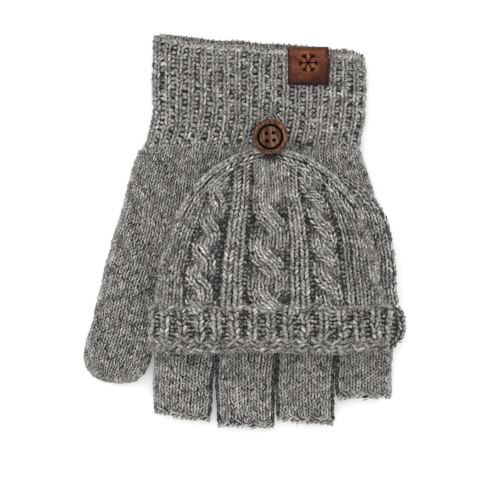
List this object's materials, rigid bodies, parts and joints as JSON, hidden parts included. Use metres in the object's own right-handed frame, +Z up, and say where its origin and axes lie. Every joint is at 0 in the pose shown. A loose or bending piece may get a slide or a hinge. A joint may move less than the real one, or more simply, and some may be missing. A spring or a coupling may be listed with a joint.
{
  "type": "flip-top mitten",
  "caption": "Heather grey knitted mitten with open finger ends, a cabled flip cap buttoned back on the hand, a ribbed cuff, a wooden button and a leather tab.",
  "frame": {"origin": "On the surface the mitten lies on, under the middle of the palm.", "axes": "+Y runs from the fingers to the cuff, +Z up off the palm, -X to the thumb's side."},
  "size_m": [0.1382, 0.1691, 0.0277],
  "materials": {
    "grey_wool": "fine heather knit",
    "grey_wool_thick": "thick heather knit",
    "brown_wood": "satin",
    "brown_leather": "matte",
    "brown_thread": "waxed thread"
  },
  "bodies": {
    "mitten": {"cuff": "grey_wool", "cuff_edge": "grey_wool", "hand": "grey_wool", "cap_seam": "grey_wool", "label_tab": "brown_leather", "label_stitches": "brown_thread"},
    "cap": {"cap_front": "grey_wool_thick", "cap_brim": "grey_wool_thick", "cap_back": "grey_wool_thick", "cap_back_band": "grey_wool_thick", "cap_chain": "grey_wool_thick", "button_loop": "grey_wool_thick"},
    "index": {"index_finger": "grey_wool", "index_edge": "grey_wool"},
    "middle": {"middle_finger": "grey_wool", "middle_edge": "grey_wool"},
    "ring": {"ring_finger": "grey_wool", "ring_edge": "grey_wool"},
    "little": {"little_finger": "grey_wool", "little_edge": "grey_wool"},
    "thumb_part": {"thumb": "grey_wool"},
    "button_part": {"button": "brown_wood", "button_thread": "brown_thread"}
  },
  "joints": [
    {"name": "cap_flip", "type": "hinge", "parent": "mitten", "child": "cap", "pos_m": [0, -0.0473, 0.0124], "axis": [1, 0, 0], "range_deg": [0, 180], "deforming": ["cap_front", "cap_brim", "cap_chain", "button_loop"]},
    {"name": "index_curl", "type": "hinge", "parent": "mitten", "child": "index", "pos_m": [-0.0368, -0.042, 0.005], "axis": [-1, 0, 0], "range_deg": [-60, 0]},
    {"name": "middle_curl", "type": "hinge", "parent": "mitten", "child": "middle", "pos_m": [-0.0109, -0.042, 0.005], "axis": [-1, 0, 0], "range_deg": [-60, 0]},
    {"name": "ring_curl", "type": "hinge", "parent": "mitten", "child": "ring", "pos_m": [0.015, -0.042, 0.005], "axis": [-1, 0, 0], "range_deg": [-60, 0]},
    {"name": "little_curl", "type": "hinge", "parent": "mitten", "child": "little", "pos_m": [0.0402, -0.042, 0.005], "axis": [-1, 0, 0], "range_deg": [-60, 0]},
    {"name": "thumb_spread", "type": "hinge", "parent": "mitten", "child": "thumb_part", "pos_m": [-0.057, -0.014, 0.006], "axis": [0, 0, -1], "range_deg": [0, 25]},
    {"name": "button_tilt", "type": "hinge", "parent": "mitten", "child": "button_part", "pos_m": [-0.0004, 0.0439, 0.0149], "axis": [1, 0, 0], "range_deg": [-12, 12], "stiffness_Nm_per_rad": 0.01}
  ]
}
